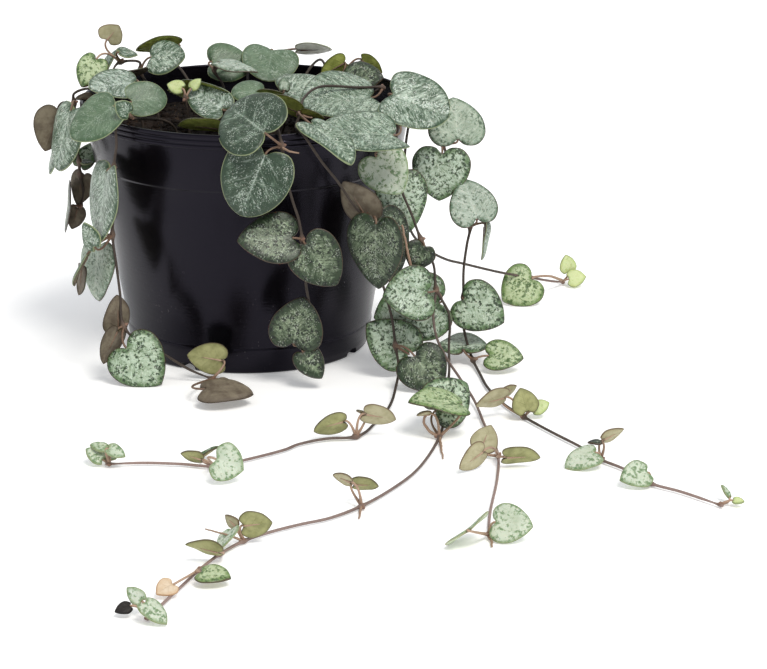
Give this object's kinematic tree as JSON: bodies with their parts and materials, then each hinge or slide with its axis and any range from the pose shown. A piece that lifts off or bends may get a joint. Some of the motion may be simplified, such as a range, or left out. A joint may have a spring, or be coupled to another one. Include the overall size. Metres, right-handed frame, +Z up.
{
  "type": "potted string of hearts",
  "caption": "Potted string of hearts: thin trailing stems with small marbled heart-shaped leaves, in a round tapered black plastic nursery pot of soil.",
  "frame": {"origin": "centre of the pot's underside, on the surface that the pot stands on", "axes": "+Z up along the pot's axis, -Y towards the viewer of the picture, +X to the viewer's right"},
  "size_m": [0.2149, 0.32, 0.1032],
  "materials": {
    "pot": "satin",
    "soil": "matte",
    "foliage": "satin"
  },
  "bodies": {
    "root": {"pot": "pot", "soil": "soil", "vine_front_left": "foliage", "vine_front_centre": "foliage", "vine_left_runner": "foliage", "vine_front_runner": "foliage", "vine_right_runner": "foliage", "vine_far_runner": "foliage", "vine_left_hanging": "foliage", "shoot_back_left": "foliage", "shoot_back": "foliage", "shoot_middle": "foliage", "shoot_right": "foliage", "shoot_front": "foliage", "shoot_front_left": "foliage", "shoot_front_edge": "foliage", "vine_hidden_back_left": "foliage", "vine_hidden_back": "foliage", "vine_hidden_back_right": "foliage"}
  },
  "joints": []
}
